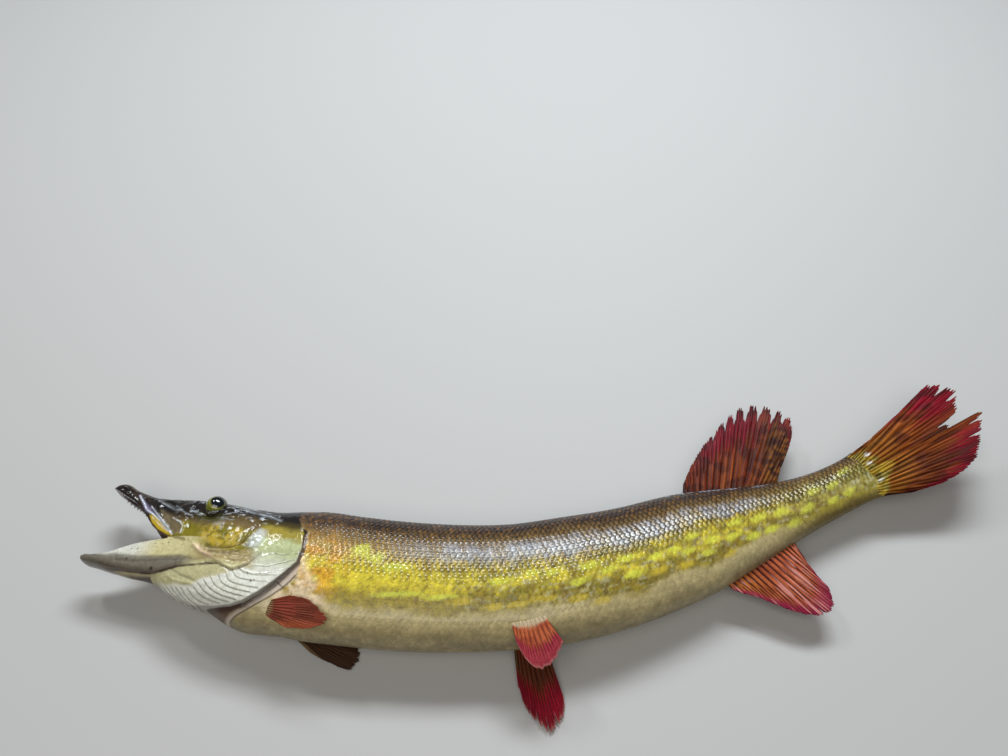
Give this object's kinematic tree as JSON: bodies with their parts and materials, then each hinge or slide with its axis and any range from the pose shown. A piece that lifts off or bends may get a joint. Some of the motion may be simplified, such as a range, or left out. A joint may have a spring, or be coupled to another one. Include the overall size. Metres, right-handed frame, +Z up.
{
  "type": "mounted chain pickerel",
  "caption": "Painted skin mount of a slim freshwater pike lying on its right flank, mouth open, tail curved towards the back, with fins, glass eyes and flared gill covers.",
  "frame": {"origin": "centre of the bounding box in plan, on the surface that the fish lies on", "axes": "+X towards the tail, +Y towards the back, +Z up out of the left flank"},
  "size_m": [0.5506, 0.213, 0.0443],
  "materials": {
    "painted_skin": "scaled fish skin, painted olive and lime with a pale belly, under clear gloss varnish",
    "fin": "dried fin rays and web, painted orange and crimson with dark streaks, satin",
    "mouth_lining": "painted mouth lining, low gloss",
    "glass_eye": "solid glass eye painted from behind, dark pupil in an olive and gold ring, high gloss"
  },
  "bodies": {
    "root": {"head": "painted_skin", "upper_jaw": "painted_skin", "lower_jaw": "painted_skin", "gill_cover_left": "painted_skin", "gill_cover_right": "painted_skin", "trunk_front": "painted_skin", "trunk_middle": "painted_skin", "trunk_rear": "painted_skin", "tail_stem": "painted_skin", "tongue": "mouth_lining", "eye_left": "glass_eye", "eye_right": "glass_eye", "dorsal_fin": "fin", "anal_fin": "fin", "tail_fin": "fin", "pectoral_fin_left": "fin", "pectoral_fin_right": "fin", "pelvic_fin_left": "fin", "pelvic_fin_right": "fin"}
  },
  "joints": []
}
